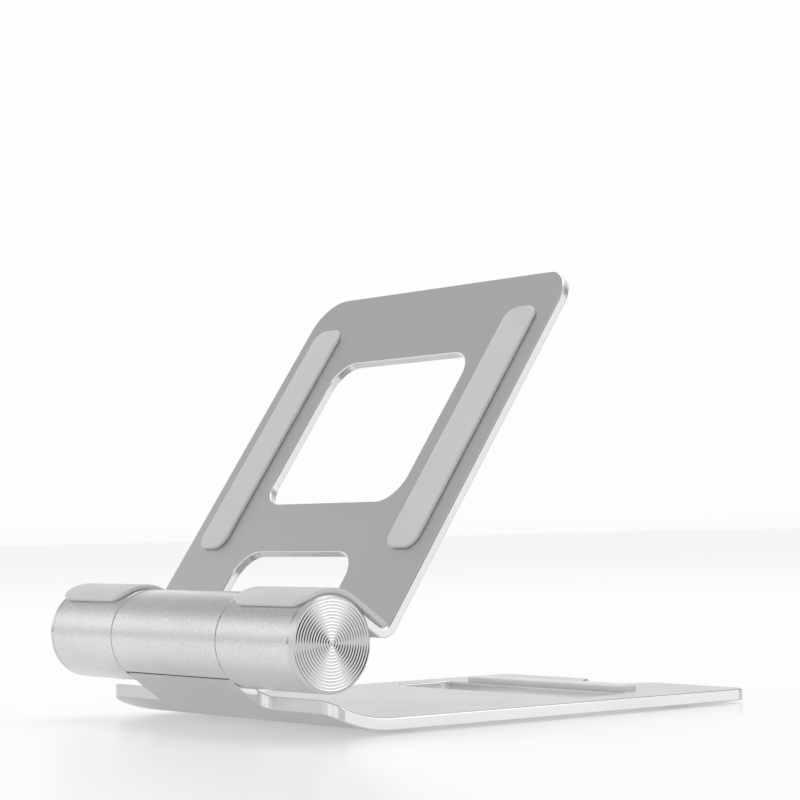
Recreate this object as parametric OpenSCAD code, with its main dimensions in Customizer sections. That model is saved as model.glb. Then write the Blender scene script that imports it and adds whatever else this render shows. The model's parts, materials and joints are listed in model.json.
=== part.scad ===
// Folding tablet stand: a curled aluminium base plate carries the centre of a
// three-part barrel hinge, and a hooked support plate turns on the outer parts.
// Units are millimetres. +X runs along the barrel, +Y to the back, +Z up.
// The origin is on the table, at the middle of the stand's footprint.

/* [Barrel] */
// outside diameter of the three barrel segments
barrel_d = 24; // [22:0.5:26]
// length of the fixed centre segment
center_w = 49; // [45:0.5:54]
// length of each turning outer segment, end cap included
side_w = 32.5; // [31:0.5:36]
// visible seam between two segments
seam = 0.3; // [0.2:0.05:0.6]
// thickness of each end cap outside its tube
cap_t = 2; // [1.5:0.1:3]
// width of the chamfer round each end cap
cap_chamfer = 0.9; // [0.4:0.1:1.2]

/* [Base plate] */
// width of the base plate
base_w = 103; // [96:1:112]
// overall depth, from the front of the barrel to the back edge
base_len = 158; // [150:1:180]
// thickness of the base plate
base_t = 3.2; // [2.5:0.1:4]
// radius of the upward curl, on its outer face
curl_r = 40; // [34:1:50]
// straight length of the tongue between the curl and the barrel
curl_straight = 5.8; // [4:0.1:8]
// slope of the tongue where it meets the barrel, in degrees
curl_angle = 40; // [36:1:44]
// radius of the two front corners of the base plate
front_corner_r = 4.5; // [3:0.5:12]
// radius of the two back corners of the base plate
corner_r = 4; // [2:0.5:10]
// width of the lift slot through the base
slot_w = 80; // [60:1:86]
// depth of the lift slot, front to back
slot_d = 20; // [16:1:24]
// distance from the back edge to the slot's rear wall
slot_back = 33.5; // [32:0.5:44]
// width of the cable notch in the back edge
notch_w = 24; // [16:1:30]
// depth of the cable notch
notch_d = 8; // [5:0.5:10]

/* [Support plate] */
// lean of the support plate from vertical at rest, in degrees
lean = 35; // [20:1:50]
// width of the support plate
support_w = 110; // [100:1:112]
// height of the support plate above the barrel axis, along the plate
support_h = 124; // [110:1:140]
// thickness of the support plate
support_t = 2.4; // [2:0.1:2.6]
// depth of the tablet ledge behind the barrel's highest line
ledge_d = 13.3; // [12:0.1:13.6]
// inside radius of the bend between ledge and plate
bend_r = 2; // [1.5:0.1:3]
// width of the window in the support plate
window_w = 60; // [40:1:68]

/* [Silicone pads] */
// thickness of the pads over the barrel and the ledge
lip_t = 1.4; // [1:0.1:1.8]
// how far round the barrel each lip pad reaches, in degrees
lip_wrap = 78; // [60:1:88]
// thickness of the pads on the support plate
back_pad_t = 1.2; // [0.8:0.1:1.6]
// height of the rest strip above the base plate
rest_h = 1.6; // [1.2:0.1:3.2]
// height of the feet below the base plate
foot_h = 0.8; // [0.5:0.1:1.5]

/* [Hinge] */
// diameter of the hinge shaft
shaft_d = 7; // [6:0.1:7.2]
// radial running clearance of the shaft in its bushes
run_gap = 0.05; // [0.02:0.01:0.1]
// bore of the outer tubes, around the friction stack
tube_bore = 14.4; // [14:0.1:15]

/* [Hidden] */
$fn = 96;
R = barrel_d / 2;
pocket = 0.6;
center_x = center_w / 2;
side_x = center_x + seam;
end_x = center_x + side_w;
tube_x = end_x - cap_t;
web_x = side_x + 7;
curl_y = (curl_r - R) * sin(curl_angle) + curl_straight * cos(curl_angle);
curl_z = (curl_r - R) * cos(curl_angle) - curl_straight * sin(curl_angle);
axis_y = R - base_len / 2;
axis_z = foot_h + curl_r - curl_z;
under_z = curl_z - curl_r;
top_z = under_z + base_t;
back_y = base_len - R;
front_y = 3.5;
slot_y = back_y - slot_back;
tongue_w = center_w - 1;
hub_r = 5.5;
bush_r = 4.6;
tongue_x = side_x + 1.2;
plate_y = ledge_d;
plate_back = ledge_d + support_t;
ledge_z = R - support_t;
bend_z = R + bend_r;
bend_out = bend_r + support_t;
screw_in = 4.2;

// everything below is drawn about the barrel axis and then put in place
module at_axis() {
  translate([0, axis_y, axis_z]) children();
}

// the support body is drawn upright and leans back about the barrel axis
module leaning() {
  at_axis() rotate([-lean, 0, 0]) children();
}

// a profile drawn in Y and Z, extruded along +X from x0
module along_x(x0, len) {
  translate([x0, 0, 0]) rotate([90, 0, 90]) linear_extrude(height = len) children();
}

// a solid cylinder along +X
module rod(x0, len, r) {
  along_x(x0, len) circle(r = r);
}

// the same thing on the right and, mirrored, on the left
module both_sides() {
  children();
  mirror([1, 0, 0]) children();
}

// a rectangle with round corners, centred
module round_rect(w, d, r) {
  square([w - 2 * r, d], center = true);
  square([w, d - 2 * r], center = true);
  for (x = [-1, 1], y = [-1, 1])
    translate([x * (w / 2 - r), y * (d / 2 - r)]) circle(r = r);
}

// the concave fillet that fills an inside corner at the origin, towards +X +Y
module fillet(r) {
  difference() {
    square(r);
    translate([r, r]) circle(r = r);
  }
}

// ---- base body ----

// side view of the base plate: flat, then curling up to meet the barrel
module base_side() {
  translate([curl_y, under_z]) square([back_y - curl_y, base_t]);
  curl_band(curl_r, curl_r - base_t);
  tongue_band(curl_straight, base_t, 0);
}

// the straight band above the curl, tangent to the barrel at its upper end
module tongue_band(len, thick, below) {
  rotate(-curl_angle) translate([0, -R - below]) square([len, thick + below]);
}

// the curled band between two radii, from the flat plate to the straight tongue
module curl_band(outer, inner) {
  intersection() {
    translate([curl_y, curl_z]) difference() {
      circle(r = outer, $fn = 360);
      circle(r = inner, $fn = 360);
    }
    polygon([[curl_y, curl_z], [curl_y, curl_z - 90],
             [curl_y - 90 * sin(curl_angle), curl_z - 90],
             [curl_y - 90 * sin(curl_angle), curl_z - 90 * cos(curl_angle)]]);
  }
}

// top view of the base plate, with its tongue, slot and notch
module base_top() {
  difference() {
    union() {
      translate([-base_w / 2, front_y]) square([base_w, back_y - front_y]);
      translate([-tongue_w / 2, -R]) square([tongue_w, R + front_y + 10]);
      for (s = [0, 1]) mirror([s, 0])
        translate([tongue_w / 2, front_y]) mirror([0, 1]) fillet(3);
    }
    translate([0, slot_y - slot_d / 2]) round_rect(slot_w, slot_d, 3);
    translate([0, back_y]) round_rect(notch_w, 2 * notch_d, 6);
    for (s = [0, 1]) mirror([s, 0]) {
      translate([notch_w / 2, back_y]) mirror([0, 1]) fillet(3);
      translate([base_w / 2, front_y]) rotate(90) fillet(front_corner_r);
      translate([base_w / 2, back_y]) rotate(180) fillet(corner_r);
    }
  }
}

module base_plate() {
  color("silver") at_axis() difference() {
    intersection() {
      along_x(-base_w / 2, base_w) base_side();
      translate([0, 0, under_z - 1]) linear_extrude(height = 30) base_top();
    }
    translate([0, 0, top_z - pocket]) linear_extrude(height = 5) rest_outline();
    translate([0, 0, under_z - 1]) linear_extrude(height = 1 + pocket) front_outline();
    translate([0, 0, under_z - 1]) linear_extrude(height = 1 + pocket) rear_outline();
    both_sides() tongue_screw_frame() cylinder(h = 2.6, r = 1.25, $fn = 48);
  }
}

// on the centre line of a tongue screw, at the tongue's inner face
module tongue_screw_frame() {
  rotate([180 - curl_angle, 0, 0]) translate([9, -screw_in, R - base_t]) children();
}

module center_barrel() {
  color("silver") at_axis() difference() {
    rod(-center_x, center_w, R);
    rod(-center_x - 1, center_w + 2, hub_r);
    along_x(-center_x - 1, center_w + 2) {
      tongue_band(curl_straight, base_t, 1);
      curl_band(curl_r + 1, curl_r - base_t);
    }
    both_sides() tongue_screw_frame() {
      translate([0, 0, -6]) cylinder(h = 3.7, r = 2.4, $fn = 48);
      translate([0, 0, -3]) cylinder(h = 4, r = 1.25, $fn = 48);
    }
  }
}

module tongue_screws() {
  color("dimgray") at_axis() both_sides() tongue_screw_frame() {
    translate([0, 0, -2.3]) cylinder(h = 4.9, r = 1.25, $fn = 48);
    difference() {
      translate([0, 0, -3.5]) cylinder(h = 1.2, r = 2.2, $fn = 48);
      translate([0, 0, -4]) cylinder(h = 1.2, r = 1, $fn = 6);
    }
  }
}

module hinge_shaft() {
  color("slategray") at_axis() difference() {
    rod(-web_x - 12, 2 * (web_x + 12), shaft_d / 2);
    both_sides() translate([center_x - 4, 0, 0]) cylinder(h = 12, r = 1, center = true, $fn = 32);
  }
}

module shaft_hubs() {
  color("gray") at_axis() both_sides() difference() {
    rod(center_x - 8, 8, hub_r);
    rod(center_x - 9, 10, shaft_d / 2);
    translate([center_x - 4, 0, 0]) cylinder(h = 12, r = 1, center = true, $fn = 32);
  }
}

module hub_pins() {
  color("dimgray") at_axis() both_sides() translate([center_x - 4, 0, 0])
    cylinder(h = 2 * hub_r - 0.6, r = 1, center = true, $fn = 32);
}

// a plain ring on the shaft
module washer(x0, len, r) {
  difference() {
    rod(x0, len, r);
    rod(x0 - 1, len + 2, shaft_d / 2);
  }
}

module thrust_washers() {
  color("black") at_axis() both_sides() washer(center_x + 0.05, seam + 0.6, 8.6);
}

module friction_washers() {
  color("gray") at_axis() both_sides() {
    washer(web_x + 0.1, 1, 6.6);
    washer(web_x + 4.5, 1, 6.6);
  }
}

// two disc springs per side, stacked nose to nose
module disc_springs() {
  color("darkgray") at_axis() both_sides() for (i = [0, 1])
    translate([web_x + 2.8, 0, 0]) mirror([i, 0, 0]) rotate([0, 90, 0])
      rotate_extrude() polygon([[shaft_d / 2, 0], [6.2, 0.9], [6.2, 1.7], [shaft_d / 2, 0.8]]);
}

module lock_nuts() {
  color("gray") at_axis() both_sides() difference() {
    along_x(web_x + 5.5, 4) circle(r = 5.6, $fn = 6);
    rod(web_x + 4, 8, shaft_d / 2);
  }
}

module rest_outline() {
  translate([0, slot_y + 5.5]) round_rect(66, 8, 2);
}

module front_outline() {
  translate([0, curl_y + 10]) round_rect(88, 8, 3);
}

module rear_outline() {
  translate([0, back_y - 18]) round_rect(88, 8, 3);
}

module rest_strip() {
  color("gainsboro") at_axis() translate([0, 0, top_z - pocket])
    linear_extrude(height = rest_h + pocket) rest_outline();
}

module front_foot() {
  color("darkgray") at_axis() translate([0, 0, under_z - foot_h])
    linear_extrude(height = foot_h + pocket) front_outline();
}

module rear_foot() {
  color("darkgray") at_axis() translate([0, 0, under_z - foot_h])
    linear_extrude(height = foot_h + pocket) rear_outline();
}

// ---- support body, drawn upright ----

// side view of the plate: ledge, bend and upright
module support_side() {
  translate([0, ledge_z]) square([plate_y - bend_r, support_t]);
  translate([plate_y, bend_z]) square([support_t, support_h - bend_z]);
  intersection() {
    translate([plate_y - bend_r, bend_z]) difference() {
      circle(r = bend_out);
      circle(r = bend_r);
    }
    translate([plate_y - bend_r, bend_z - bend_out]) square(bend_out);
  }
}

// front view of what is cut away: the gap between the tongues, the window and
// the two round upper corners
module support_cuts() {
  translate([0, 10]) round_rect(2 * tongue_x, 50, 8);
  translate([0, 75]) round_rect(window_w, 48, 8);
  for (s = [0, 1]) mirror([s, 0])
    translate([support_w / 2, support_h]) rotate(180) fillet(10);
}

module support_plate() {
  color("silver") leaning() difference() {
    along_x(-support_w / 2, support_w) support_side();
    rotate([90, 0, 0]) linear_extrude(height = 80, center = true) support_cuts();
    both_sides() support_screw_sites() screw_shape();
  }
}

// the two countersunk screws on the right, heads flush with the ledge
module support_screw_sites() {
  for (x = [side_x + 4.2, tube_x - 5]) translate([x, 4, R]) children();
}

module screw_shape() {
  translate([0, 0, -5.2]) cylinder(h = 5.2, r = 1.25, $fn = 48);
  translate([0, 0, -1.3]) cylinder(h = 1.3, r1 = 1.25, r2 = 2.5, $fn = 48);
}

module support_screws() {
  color("dimgray") leaning() both_sides() support_screw_sites() difference() {
    screw_shape();
    translate([0, 0, -0.8]) cylinder(h = 1, r = 0.9, $fn = 6);
  }
}

// one turning outer tube, with the web that carries its bush
module side_barrel() {
  difference() {
    rod(side_x, tube_x - side_x, R);
    rod(web_x, 30, tube_bore / 2);
    rod(side_x - 1, 12, bush_r);
    rod(side_x - 1, 1 + 0.7, 9);
    along_x(side_x - 1, side_w + 2) translate([0, ledge_z]) square([R + 2, support_t + 2]);
    support_screw_sites() screw_shape();
  }
}

module right_barrel() {
  color("silver") leaning() side_barrel();
}

module left_barrel() {
  color("silver") leaning() mirror([1, 0, 0]) side_barrel();
}

module shaft_bushes() {
  color("peru") leaning() both_sides() difference() {
    rod(side_x + 0.7, web_x - side_x - 0.7, bush_r);
    rod(side_x, 10, shaft_d / 2 + run_gap);
  }
}

// the end cap's disc with its chamfer, and the spigot that plugs the tube
module end_cap() {
  rotate([0, 90, 0]) translate([0, 0, tube_x]) {
    cylinder(h = cap_t - cap_chamfer, r = R);
    translate([0, 0, cap_t - cap_chamfer])
      cylinder(h = cap_chamfer, r1 = R, r2 = R - cap_chamfer);
    translate([0, 0, -3]) cylinder(h = 3, r = tube_bore / 2);
  }
}

module right_end_cap() {
  color("gainsboro") leaning() end_cap();
}

module left_end_cap() {
  color("gainsboro") leaning() mirror([1, 0, 0]) end_cap();
}

// silicone over the barrel and along the ledge
module lip_side() {
  translate([0, R]) square([plate_y - 1.4, lip_t]);
  intersection() {
    difference() {
      circle(r = R + lip_t);
      circle(r = R);
    }
    polygon([[0, 0], [0, 40], [-40, 40], [-40, 40 / tan(lip_wrap)]]);
  }
}

module lip_pad() {
  along_x(side_x + 1.7, end_x - side_x - 2.1) lip_side();
}

module right_lip_pad() {
  color("lightgray") leaning() lip_pad();
}

module left_lip_pad() {
  color("lightgray") leaning() mirror([1, 0, 0]) lip_pad();
}

module back_pad() {
  translate([43, plate_y, 74]) rotate([90, 0, 0])
    linear_extrude(height = back_pad_t) round_rect(12, 76, 4);
}

module right_back_pad() {
  color("lightgray") leaning() back_pad();
}

module left_back_pad() {
  color("lightgray") leaning() mirror([1, 0, 0]) back_pad();
}

base_plate();
center_barrel();
tongue_screws();
hinge_shaft();
shaft_hubs();
hub_pins();
thrust_washers();
friction_washers();
disc_springs();
lock_nuts();
rest_strip();
front_foot();
rear_foot();
support_plate();
left_barrel();
right_barrel();
shaft_bushes();
support_screws();
left_end_cap();
right_end_cap();
left_lip_pad();
right_lip_pad();
left_back_pad();
right_back_pad();
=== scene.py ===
import json
import math
import bpy
import bmesh
from mathutils import Matrix, Vector


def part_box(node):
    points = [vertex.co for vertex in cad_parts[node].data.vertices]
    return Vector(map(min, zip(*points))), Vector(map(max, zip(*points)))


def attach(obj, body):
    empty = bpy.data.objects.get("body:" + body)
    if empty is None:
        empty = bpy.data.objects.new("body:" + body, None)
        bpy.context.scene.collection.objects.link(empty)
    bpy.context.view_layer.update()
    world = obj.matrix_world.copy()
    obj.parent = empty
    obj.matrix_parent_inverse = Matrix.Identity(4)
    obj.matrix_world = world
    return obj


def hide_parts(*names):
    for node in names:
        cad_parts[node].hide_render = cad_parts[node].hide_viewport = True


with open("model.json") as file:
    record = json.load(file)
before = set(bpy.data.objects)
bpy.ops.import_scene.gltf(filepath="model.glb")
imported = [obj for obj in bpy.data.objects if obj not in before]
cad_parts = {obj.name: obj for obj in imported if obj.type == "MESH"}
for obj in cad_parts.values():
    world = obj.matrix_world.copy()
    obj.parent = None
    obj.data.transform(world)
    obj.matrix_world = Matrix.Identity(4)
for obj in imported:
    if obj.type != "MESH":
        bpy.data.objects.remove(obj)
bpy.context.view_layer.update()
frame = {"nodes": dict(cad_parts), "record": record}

# Folding tablet stand in satin and bead-blasted aluminium, with silicone pads.
# Everything is in metres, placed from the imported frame.

nodes = frame["nodes"]
mm = 0.001
tiltJoint = frame["record"]["behaviour"]["joints"][0]
barrelAxis = Vector(tiltJoint["pos_m"])
barrelLow, barrelHigh = [Vector(corner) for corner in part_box("center_barrel")]
barrelRadius = (barrelHigh.z - barrelLow.z) / 2
leanAngle = math.radians(35)  # how far the support leans back at rest
leaning = Matrix.Translation(barrelAxis) @ Matrix.Rotation(-leanAngle, 4, "X")


def joinNodes(material, source, output, target, socket):
    material.node_tree.links.new(source.outputs[output], target.inputs[socket])


def addNode(material, kind, place, **settings):
    node = material.node_tree.nodes.new(kind)
    node.location = place
    for name, value in settings.items():
        setattr(node, name, value)
    return node


cloudScale = 45  # soft clouds of tone to a metre


# One recipe for every finish: a fine grain in the bump and, weighted by the speckle,
# in the tone, and a soft cloud in the tone and in the roughness.
def makeFinish(name, finish):
    material = bpy.data.materials.new(name)
    material.use_nodes = True
    shader = material.node_tree.nodes["Principled BSDF"]
    shader.inputs["Metallic"].default_value = finish["metallic"]
    shader.inputs["Subsurface Weight"].default_value = finish.get("subsurface", 0.0)
    shader.inputs["Subsurface Radius"].default_value = (2 * mm, 2 * mm, 2 * mm)
    shader.inputs["Subsurface Scale"].default_value = 1.0
    shader.inputs["Sheen Weight"].default_value = finish.get("sheen", 0.0)
    place = addNode(material, "ShaderNodeTexCoord", (-1100, 0))
    stretch = addNode(material, "ShaderNodeMapping", (-900, 0))
    stretch.inputs["Scale"].default_value = finish.get("stretch", (1, 1, 1))
    joinNodes(material, place, "Object", stretch, "Vector")
    grain = addNode(material, "ShaderNodeTexNoise", (-650, -250))
    grain.inputs["Scale"].default_value = finish["grainScale"]
    grain.inputs["Detail"].default_value = finish.get("grainDetail", 2.0)
    grain.inputs["Roughness"].default_value = 0.6
    cloud = addNode(material, "ShaderNodeTexNoise", (-650, 150))
    cloud.inputs["Scale"].default_value = cloudScale
    cloud.inputs["Detail"].default_value = 4.0
    joinNodes(material, stretch, "Vector", grain, "Vector")
    joinNodes(material, place, "Object", cloud, "Vector")
    tone = addNode(material, "ShaderNodeMix", (-300, 250), data_type="RGBA")
    tone.inputs["A"].default_value = (*finish["colour"], 1)
    tone.inputs["B"].default_value = (*finish["shade"], 1)
    speckle = finish.get("speckle", 0.25)
    mixer = addNode(material, "ShaderNodeMath", (-480, 60), operation="MULTIPLY_ADD")
    mixer.inputs[1].default_value = speckle
    joinNodes(material, grain, "Fac", mixer, 0)
    joinNodes(material, cloud, "Fac", mixer, 2)
    spread = addNode(material, "ShaderNodeMapRange", (-480, 320))
    middle = 0.5 + 0.5 * speckle
    spread.inputs["From Min"].default_value = middle - 0.3 * max(speckle, 1)
    spread.inputs["From Max"].default_value = middle + 0.3 * max(speckle, 1)
    joinNodes(material, mixer, "Value", spread, "Value")
    joinNodes(material, spread, "Result", tone, "Factor")
    joinNodes(material, tone, "Result", shader, "Base Color")
    gloss = addNode(material, "ShaderNodeMapRange", (-300, 0))
    gloss.inputs["From Min"].default_value = 0.3
    gloss.inputs["From Max"].default_value = 0.7
    gloss.inputs["To Min"].default_value = finish["roughness"] - finish.get("glossSpread", 0.03)
    gloss.inputs["To Max"].default_value = finish["roughness"] + finish.get("glossSpread", 0.03)
    joinNodes(material, cloud, "Fac", gloss, "Value")
    joinNodes(material, gloss, "Result", shader, "Roughness")
    bump = addNode(material, "ShaderNodeBump", (-250, -300))
    bump.inputs["Distance"].default_value = finish["grainHeight"]
    joinNodes(material, grain, "Fac", bump, "Height")
    joinNodes(material, bump, "Normal", shader, "Normal")
    return material


# change a finish here: colours are linear, grain scale is cells per metre
finishes = {
    "satinPlate": {"metallic": 1.0, "colour": (0.74, 0.742, 0.746), "shade": (0.69, 0.692, 0.70),
                   "roughness": 0.36, "grainScale": 3600, "grainHeight": 0.012 * mm},
    "polishedEdge": {"metallic": 1.0, "colour": (0.84, 0.84, 0.84), "shade": (0.80, 0.80, 0.805),
                     "roughness": 0.12, "glossSpread": 0.04, "grainScale": 900,
                     "stretch": (0.2, 0.2, 4), "grainHeight": 0.002 * mm},
    "blastedBarrel": {"metallic": 1.0, "colour": (0.90, 0.90, 0.898), "shade": (0.66, 0.661, 0.664),
                      "roughness": 0.25, "grainScale": 2600, "grainDetail": 2.0,
                      "speckle": 4.0, "grainHeight": 0.045 * mm},
    "spunCap": {"metallic": 1.0, "colour": (0.75, 0.748, 0.742), "shade": (0.70, 0.698, 0.694),
                "roughness": 0.11, "grainScale": 2500, "grainHeight": 0.002 * mm},
    "lightSilicone": {"metallic": 0.0, "colour": (0.72, 0.722, 0.725), "shade": (0.66, 0.662, 0.67),
                      "roughness": 0.42, "grainScale": 2200, "grainHeight": 0.01 * mm,
                      "subsurface": 0.15, "sheen": 0.1},
    # a paler copy of lightSilicone, as painted light: it brightens the rest strip, whose front face
    # lies in shade
    "paintedLightSilicone": {"metallic": 0.0, "colour": (0.86, 0.86, 0.862), "shade": (0.82, 0.82, 0.824),
                     "roughness": 0.36, "grainScale": 2200, "grainHeight": 0.008 * mm,
                     "subsurface": 0.15, "sheen": 0.1},
    "footSilicone": {"metallic": 0.0, "colour": (0.42, 0.43, 0.44), "shade": (0.36, 0.37, 0.38),
                     "roughness": 0.55, "grainScale": 2200, "grainHeight": 0.015 * mm},
    "hingeSteel": {"metallic": 1.0, "colour": (0.52, 0.52, 0.53), "shade": (0.42, 0.42, 0.43),
                   "roughness": 0.28, "grainScale": 1800, "stretch": (1, 6, 6),
                   "grainHeight": 0.006 * mm},
    "bushBronze": {"metallic": 1.0, "colour": (0.62, 0.40, 0.20), "shade": (0.50, 0.31, 0.15),
                   "roughness": 0.38, "grainScale": 1500, "grainHeight": 0.012 * mm},
    "washerPlastic": {"metallic": 0.0, "colour": (0.03, 0.03, 0.032), "shade": (0.05, 0.05, 0.05),
                      "roughness": 0.45, "grainScale": 1500, "grainHeight": 0.01 * mm},
}
paint = {name: makeFinish(name, finish) for name, finish in finishes.items()}
print("finishes made:", len(paint))


def meshPiece(name, mesh, body, slotName, materials, *replaced):
    object = bpy.data.objects.new(name, mesh)
    bpy.context.scene.collection.objects.link(object)
    for material in materials:
        mesh.materials.append(material)
    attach(object, body)
    if replaced:
        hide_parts(*replaced)
    return object


# angles in radians, apart from breakAbove in degrees
meshLimits = {"merge": 0.03 * mm, "flat": 0.003, "breakAbove": 35, "curveStep": 0.06,
              "curveArea": 8, "sharp": 0.75}


# Keeps flat faces flat and rounded edges round when the shading is smooth.
def shadeByEdge(solid, roundedFaces):
    rounded = set(roundedFaces)
    for face in solid.faces:
        face.smooth = True
    for edge in solid.edges:
        if len(edge.link_faces) != 2:
            continue
        first, second = edge.link_faces
        angle = edge.calc_face_angle(0)
        areas = sorted((first.calc_area(), second.calc_area()))
        atRim = (first in rounded) != (second in rounded)
        isWide = areas[1] > meshLimits["curveArea"] * areas[0]
        flatToCurve = angle < meshLimits["curveStep"] and isWide
        edge.smooth = not (angle > meshLimits["sharp"] or atRim or flatToCurve)


# A machined copy of a CAD node: merged, every convex sharp edge broken, and the
# faces that isCut picks given the second material.
def machinedPiece(name, node, body, slotName, materials, edge, isCut=None, adjust=None):
    solid = bmesh.new()
    solid.from_mesh(nodes[node].data)
    bmesh.ops.remove_doubles(solid, verts=solid.verts, dist=meshLimits["merge"])
    if adjust:
        adjust(solid)
    # a cut through every opening leaves no flat face with a hole in it
    cut = bmesh.ops.bisect_plane(solid, geom=solid.verts[:] + solid.edges[:] + solid.faces[:],
                                 plane_co=barrelAxis, plane_no=edge.get("cut", (1, 0, 0)),
                                 dist=0.001 * mm)
    for line in cut["geom_cut"]:
        if isinstance(line, bmesh.types.BMEdge):
            line.seam = True
    bmesh.ops.dissolve_limit(solid, angle_limit=meshLimits["flat"], verts=solid.verts,
                             edges=solid.edges, delimit={"SEAM"})
    sharp = [e for e in solid.edges if e.is_manifold and e.is_convex
             and e.calc_face_angle() > math.radians(meshLimits["breakAbove"])
             and not ("isKept" in edge and edge["isKept"](e))]
    result = bmesh.ops.bevel(solid, geom=sharp, offset=edge["width"], offset_type="OFFSET",
                             segments=edge["segments"], profile=0.5, affect="EDGES",
                             clamp_overlap=False, material=-1)
    solid.normal_update()
    rounded = [f for f in result["faces"] if f.is_valid]
    for face in solid.faces:
        face.material_index = 1 if isCut and isCut(face) else 0
    for face in rounded:
        if edge.get("isBright") and edge["isBright"](face):
            face.material_index = 1
    shadeByEdge(solid, rounded)
    mesh = bpy.data.meshes.new(name)
    solid.to_mesh(mesh)
    solid.free()
    return meshPiece(name, mesh, body, slotName, materials, node)


# aluminium pieces that keep the frame's shape
tongue = {"slope": math.radians(40), "shadowGap": 0.34 * mm, "frontReach": 16 * mm,
          "endReach": 0.05 * mm}


# the front of the base plate, where only the edges that face sideways are bright
def isAtFront(face):
    return face.calc_center_median().y < barrelAxis.y + tongue["frontReach"]


def isPlateRim(face):
    return not isAtFront(face) or abs(face.normal.x) > 0.5


def isUprightCut(face):
    return abs(face.normal.z) < 0.2 and isPlateRim(face)


alongTongue = Vector((0, math.cos(tongue["slope"]), -math.sin(tongue["slope"])))


# Draws the tongue's end back from the barrel, so that a fine shadow line shows.
def openTongueGap(solid):
    for vertex in solid.verts:
        if (vertex.co - barrelAxis).dot(alongTongue) < tongue["endReach"]:
            vertex.co += alongTongue * tongue["shadowGap"]


def isTongueEnd(edge):
    middle = (edge.verts[0].co + edge.verts[1].co) / 2
    return (middle - barrelAxis).dot(alongTongue) < tongue["shadowGap"] + tongue["endReach"]


plateEdge = {"width": 0.35 * mm, "segments": 3, "isBright": isPlateRim, "isKept": isTongueEnd}
supportEdge = {"width": 0.35 * mm, "segments": 3, "isBright": lambda face: True}
barrelEdge = {"width": 0.16 * mm, "segments": 2, "cut": (0, 1, 0)}


def isSupportCut(face):
    across = leaning.to_3x3() @ Vector((0, 1, 0))
    upward = leaning.to_3x3() @ Vector((0, 0, 1))
    isSide = abs(face.normal.x) > 0.2 and abs(face.normal.dot(across)) < 0.2
    isHigh = face.calc_center_median().z > barrelHigh.z + 20 * mm
    return isSide or face.normal.dot(upward) > 0.9 and isHigh


plateMaterials = [paint["satinPlate"], paint["polishedEdge"]]
barrelMaterials = [paint["blastedBarrel"]]
basePlate = machinedPiece("basePlate", "base_plate", "base", "satin_plate",
                          plateMaterials, plateEdge, isUprightCut, openTongueGap)
supportPlate = machinedPiece("supportPlate", "support_plate", "support", "satin_plate",
                             plateMaterials, supportEdge, isSupportCut)
centerBarrel = machinedPiece("centerBarrel", "center_barrel", "base", "blasted_barrel",
                             barrelMaterials, barrelEdge)
leftBarrel = machinedPiece("leftBarrel", "left_barrel", "support", "blasted_barrel",
                           barrelMaterials, barrelEdge)
rightBarrel = machinedPiece("rightBarrel", "right_barrel", "support", "blasted_barrel",
                            barrelMaterials, barrelEdge)
print("aluminium pieces made")


# end cap: a turned disc with concentric record grooves and a satin chamfer
endCap = {"grooves": 14, "pitch": 0.78 * mm, "depth": 0.085 * mm, "steps": 144,
          "pointsPerGroove": 6, "thickness": 2.0 * mm, "chamfer": 0.9 * mm,
          "spigot": 7.2 * mm, "spigotLength": 3.0 * mm, "sharpAbove": 28}


def capProfile():
    rim = barrelRadius - endCap["chamfer"]
    points = [(endCap["depth"] * 0.4, 0.0)]
    start = rim - endCap["grooves"] * endCap["pitch"]
    points.append((0.0, start))
    for groove in range(endCap["grooves"]):
        for step in range(1, endCap["pointsPerGroove"] + 1):
            share = step / endCap["pointsPerGroove"]
            radius = start + (groove + share) * endCap["pitch"]
            points.append((endCap["depth"] * math.sin(math.pi * share), radius))
    points += [(endCap["chamfer"], barrelRadius), (endCap["thickness"], barrelRadius),
               (endCap["thickness"], endCap["spigot"]),
               (endCap["thickness"] + endCap["spigotLength"], endCap["spigot"]),
               (endCap["thickness"] + endCap["spigotLength"], 0.0)]
    return points


def makeEndCap(name, node, side):
    low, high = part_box(node)
    outside = high[0] if side > 0 else low[0]
    solid = bmesh.new()
    corners = [solid.verts.new((outside - side * inset, barrelAxis.y, barrelAxis.z + radius))
               for inset, radius in capProfile()]
    edges = [solid.edges.new(pair) for pair in zip(corners, corners[1:])]
    bmesh.ops.spin(solid, geom=corners + edges, cent=barrelAxis, axis=(1, 0, 0),
                   angle=math.tau, steps=endCap["steps"], use_merge=True)
    bmesh.ops.remove_doubles(solid, verts=solid.verts, dist=0.001 * mm)
    bmesh.ops.recalc_face_normals(solid, faces=solid.faces)
    for face in solid.faces:
        centre = face.calc_center_median()
        radius = math.hypot(centre.y - barrelAxis.y, centre.z - barrelAxis.z)
        isOuter = radius > barrelRadius - endCap["chamfer"]
        isOnChamfer = isOuter and abs(centre.x - outside) < endCap["chamfer"] * 1.01
        face.material_index = 1 if isOnChamfer else 0
        face.smooth = True
    for edge in solid.edges:
        if edge.calc_face_angle(0) > math.radians(endCap["sharpAbove"]):
            edge.smooth = False
    mesh = bpy.data.meshes.new(name)
    solid.to_mesh(mesh)
    solid.free()
    return meshPiece(name, mesh, "support", "spun_cap",
                     [paint["spunCap"], paint["satinPlate"]], node)


makeEndCap("rightEndCap", "right_end_cap", 1)
makeEndCap("leftEndCap", "left_end_cap", -1)
print("end caps turned")


# lip pad: a silicone sheet laid along the ledge and down over the barrel's front
lipPad = {"thickness": 1.4 * mm, "flat": 11.9 * mm, "wrap": 78, "frontCorner": 4.5 * mm,
          "backCorner": 1.0 * mm, "edge": 0.5 * mm, "cornerSteps": 8, "bends": 26}


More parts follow.
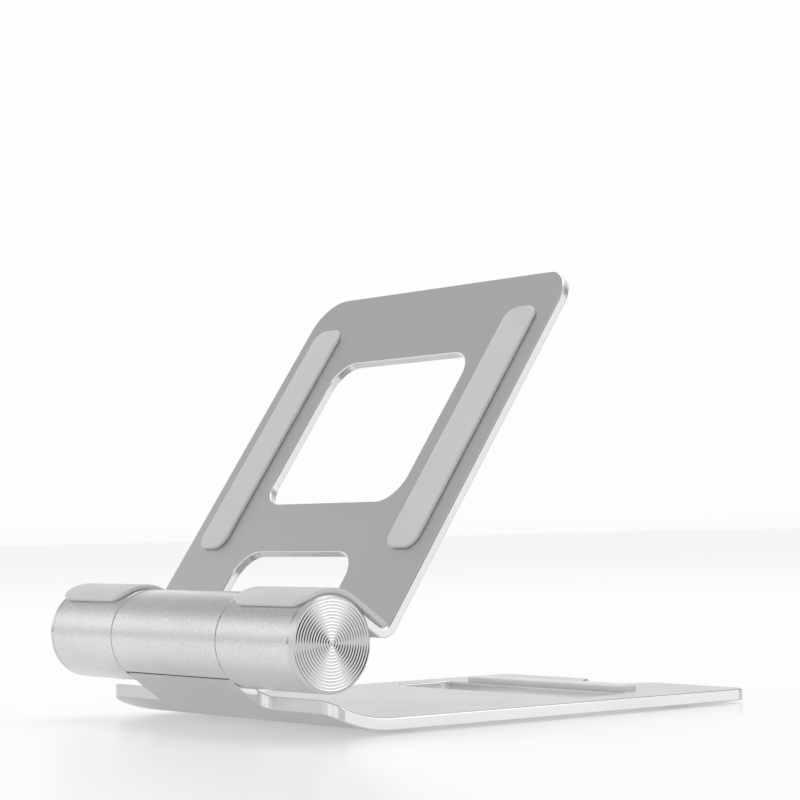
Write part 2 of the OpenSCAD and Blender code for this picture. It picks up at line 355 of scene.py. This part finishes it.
def roundedOutline(low, high, radii, steps):
    points = []
    corners = [(high[0], high[1], 0, radii[1]), (low[0], high[1], 90, radii[1]),
               (low[0], low[1], 180, radii[0]), (high[0], low[1], 270, radii[0])]
    for x, y, start, radius in corners:
        centreX = x - radius if x == high[0] else x + radius
        centreY = y - radius if y == high[1] else y + radius
        for step in range(steps + 1):
            angle = math.radians(start + 90 * step / steps)
            points.append((centreX + radius * math.cos(angle), centreY + radius * math.sin(angle)))
    return points


# Turns a point of the flat sheet into its place round the barrel.
def laidOnBarrel(point):
    along, height = point.y, point.z
    if along <= lipPad["flat"]:
        upright = Vector((point.x, lipPad["flat"] - along, barrelRadius + height))
    else:
        turn = (along - lipPad["flat"]) / (barrelRadius + lipPad["thickness"])
        reach = barrelRadius + height
        upright = Vector((point.x, -reach * math.sin(turn), reach * math.cos(turn)))
    return leaning @ upright


def makeLipPad(name, node):
    low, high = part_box(node)
    arc = math.radians(lipPad["wrap"]) * (barrelRadius + lipPad["thickness"])
    length = lipPad["flat"] + arc
    outline = roundedOutline((low[0], 0), (high[0], length),
                             (lipPad["backCorner"], lipPad["frontCorner"]), lipPad["cornerSteps"])
    solid = bmesh.new()
    sheet = solid.faces.new([solid.verts.new((x, y, 0)) for x, y in outline])
    grown = bmesh.ops.extrude_face_region(solid, geom=[sheet])
    raised = [v for v in grown["geom"] if isinstance(v, bmesh.types.BMVert)]
    bmesh.ops.translate(solid, verts=raised, vec=(0, 0, lipPad["thickness"]))
    bmesh.ops.recalc_face_normals(solid, faces=solid.faces)
    rims = [e for e in solid.edges if e.calc_face_angle(0) > 1.2]
    rounded = bmesh.ops.bevel(solid, geom=rims, offset=lipPad["edge"], offset_type="OFFSET",
                              segments=3, profile=0.5, affect="EDGES", clamp_overlap=True,
                              material=-1)
    for bend in range(1, lipPad["bends"]):
        place = lipPad["flat"] + arc * bend / lipPad["bends"]
        bmesh.ops.bisect_plane(solid, geom=solid.verts[:] + solid.edges[:] + solid.faces[:],
                               plane_co=(0, place, 0), plane_no=(0, 1, 0), dist=0.001 * mm)
    bmesh.ops.bisect_plane(solid, geom=solid.verts[:] + solid.edges[:] + solid.faces[:],
                           plane_co=(0, lipPad["flat"], 0), plane_no=(0, 1, 0), dist=0.001 * mm)
    for vertex in solid.verts:
        vertex.co = laidOnBarrel(vertex.co)
    bmesh.ops.recalc_face_normals(solid, faces=solid.faces)
    for face in solid.faces:
        face.smooth = True
    mesh = bpy.data.meshes.new(name)
    solid.to_mesh(mesh)
    solid.free()
    pad = meshPiece(name, mesh, "support", "light_silicone", [paint["lightSilicone"]], node)
    return pad


makeLipPad("rightLipPad", "right_lip_pad")
makeLipPad("leftLipPad", "left_lip_pad")

softEdge = {"width": 0.45 * mm, "segments": 3}
footEdge = {"width": 0.25 * mm, "segments": 2}
silicone = [paint["lightSilicone"]]
darkSilicone = [paint["footSilicone"]]
softPieces = [
    machinedPiece("rightBackPad", "right_back_pad", "support", "light_silicone", silicone, softEdge),
    machinedPiece("leftBackPad", "left_back_pad", "support", "light_silicone", silicone, softEdge),
    # the rest strip takes the paler silicone copy as painted light on its shaded front face
    machinedPiece("restStrip", "rest_strip", "base", "light_silicone", [paint["paintedLightSilicone"]],
                  softEdge),
    machinedPiece("frontFoot", "front_foot", "base", "foot_silicone", darkSilicone, footEdge),
    machinedPiece("rearFoot", "rear_foot", "base", "foot_silicone", darkSilicone, footEdge),
]
print("silicone pads made")

# pieces inside the hinge keep the frame's own mesh
innerFinish = {
    "tongue_screws": "hingeSteel", "hinge_shaft": "hingeSteel", "shaft_hubs": "hingeSteel",
    "hub_pins": "hingeSteel", "thrust_washers": "washerPlastic", "friction_washers": "bushBronze",
    "disc_springs": "hingeSteel", "lock_nuts": "hingeSteel", "shaft_bushes": "bushBronze",
    "support_screws": "hingeSteel",
}
for node, finish in innerFinish.items():
    nodes[node].data.materials.clear()
    nodes[node].data.materials.append(paint[finish])
print("inner pieces finished")


# floor and surround
floorLook = {"colour": (0.56, 0.56, 0.565, 1), "roughness": 0.3, "glow": 0.33,
             "reach": 6, "drop": 0.02 * mm}


def makeFloor():
    solid = bmesh.new()
    bmesh.ops.create_grid(solid, x_segments=1, y_segments=1, size=floorLook["reach"])
    mesh = bpy.data.meshes.new("floor")
    solid.to_mesh(mesh)
    solid.free()
    floor = bpy.data.objects.new("floor", mesh)
    bpy.context.scene.collection.objects.link(floor)
    floor.location.z = -floorLook["drop"]
    material = bpy.data.materials.new("floorLook")
    material.use_nodes = True
    shader = material.node_tree.nodes["Principled BSDF"]
    shader.inputs["Base Color"].default_value = floorLook["colour"]
    shader.inputs["Roughness"].default_value = floorLook["roughness"]
    shader.inputs["Emission Color"].default_value = (1, 1, 1, 1)
    shader.inputs["Emission Strength"].default_value = floorLook["glow"]
    mesh.materials.append(material)


makeFloor()

# the surround by height, from 0 below to 1 above: how high, and how bright
surround = {"belowFloor": (0.46, 0.80), "overhead": (1.0, 0.60), "horizon": (0.5, 0.98),
            "lowBand": (0.68, 1.0), "sky": (0.76, 0.42)}
# cards in the surround: heading from +X and height in degrees, inner and outer
# reach in degrees, and how far each darkens or lightens what is behind it
cards = {
    "capNear": (2, 3, 18, 28, 0.04),
    "capFar": (76, 3, 16, 26, 0.04),
    "capAbove": (38, 36, 10, 22, 1.6),
    "barrelBand": (217, -2, 2, 15, 0.45),
    "flapSide": (-53, 0, 4, 11, 0.08),
}


def makeSurround():
    world = bpy.data.worlds.new("studio")
    bpy.context.scene.world = world
    world.use_nodes = True
    background = world.node_tree.nodes["Background"]
    place = addNode(world, "ShaderNodeTexCoord", (-800, 0))
    parts = addNode(world, "ShaderNodeSeparateXYZ", (-600, 0))
    joinNodes(world, place, "Generated", parts, "Vector")
    height = addNode(world, "ShaderNodeMapRange", (-420, 0))
    height.inputs["From Min"].default_value = -1
    joinNodes(world, parts, "Z", height, "Value")
    ramp = addNode(world, "ShaderNodeValToRGB", (-240, 0))
    stops = ramp.color_ramp.elements
    for index, name in enumerate(("belowFloor", "overhead")):
        stops[index].position = surround[name][0]
        stops[index].color = (surround[name][1],) * 3 + (1,)
    for name in ("horizon", "lowBand", "sky"):
        stop = stops.new(surround[name][0])
        stop.color = (surround[name][1],) * 3 + (1,)
    joinNodes(world, height, "Result", ramp, "Fac")
    light = ramp
    for heading, rise, inner, outer, level in cards.values():
        towards = addNode(world, "ShaderNodeVectorMath", (-240, -250), operation="DOT_PRODUCT")
        turn, lift = math.radians(heading), math.radians(rise)
        towards.inputs[1].default_value = (math.cos(turn) * math.cos(lift),
                                           math.sin(turn) * math.cos(lift), math.sin(lift))
        joinNodes(world, place, "Generated", towards, 0)
        fade = addNode(world, "ShaderNodeMapRange", (-60, -250))
        fade.inputs["From Min"].default_value = math.cos(math.radians(outer))
        fade.inputs["From Max"].default_value = math.cos(math.radians(inner))
        fade.inputs["To Min"].default_value = 1
        fade.inputs["To Max"].default_value = level
        joinNodes(world, towards, "Value", fade, "Value")
        dim = addNode(world, "ShaderNodeVectorMath", (120, 0), operation="MULTIPLY")
        joinNodes(world, light, 0, dim, 0)
        joinNodes(world, fade, "Result", dim, 1)
        light = dim
    joinNodes(world, light, 0, background, "Color")


makeSurround()

# softboxes: place, size in metres, power in watts, aimed at the barrel
softboxes = {
    "frontBox": {"place": (0.5, -1.5, 0.9), "size": (1.6, 0.3), "power": 2.0},
    "topBox": {"place": (-0.3, 0.4, 1.6), "size": (1.4, 1.0), "power": 8},
    "rightBox": {"place": (1.1, 0.86, 0.95), "size": (0.8, 0.9), "power": 1.4},
}
for name, box in softboxes.items():
    lamp = bpy.data.lights.new(name, "AREA")
    lamp.shape = "RECTANGLE"
    lamp.size, lamp.size_y = box["size"]
    lamp.energy = box["power"]
    light = bpy.data.objects.new(name, lamp)
    bpy.context.scene.collection.objects.link(light)
    light.location = box["place"]
    light.rotation_euler = (Vector(box["place"]) - barrelAxis).to_track_quat("Z", "Y").to_euler()

# camera: low, close and from the front right
cameraView = {"place": (0.51219, -0.39839, 0.05162), "heading": 0.9109, "pitch": 0.0516,
              "roll": -0.0194, "lens": 106.4}
lens = bpy.data.cameras.new("camera")
lens.lens = cameraView["lens"]
lens.sensor_width = 36
lens.clip_start = 0.01
camera = bpy.data.objects.new("camera", lens)
bpy.context.scene.collection.objects.link(camera)
turn = Matrix.Rotation(cameraView["heading"], 4, "Z") \
    @ Matrix.Rotation(math.pi / 2 + cameraView["pitch"], 4, "X") \
    @ Matrix.Rotation(cameraView["roll"], 4, "Z")
camera.location = cameraView["place"]
camera.rotation_euler = turn.to_euler()
bpy.context.scene.camera = camera
bpy.context.scene.view_settings.view_transform = "Standard"
print("studio and camera set")

bpy.context.view_layer.update()
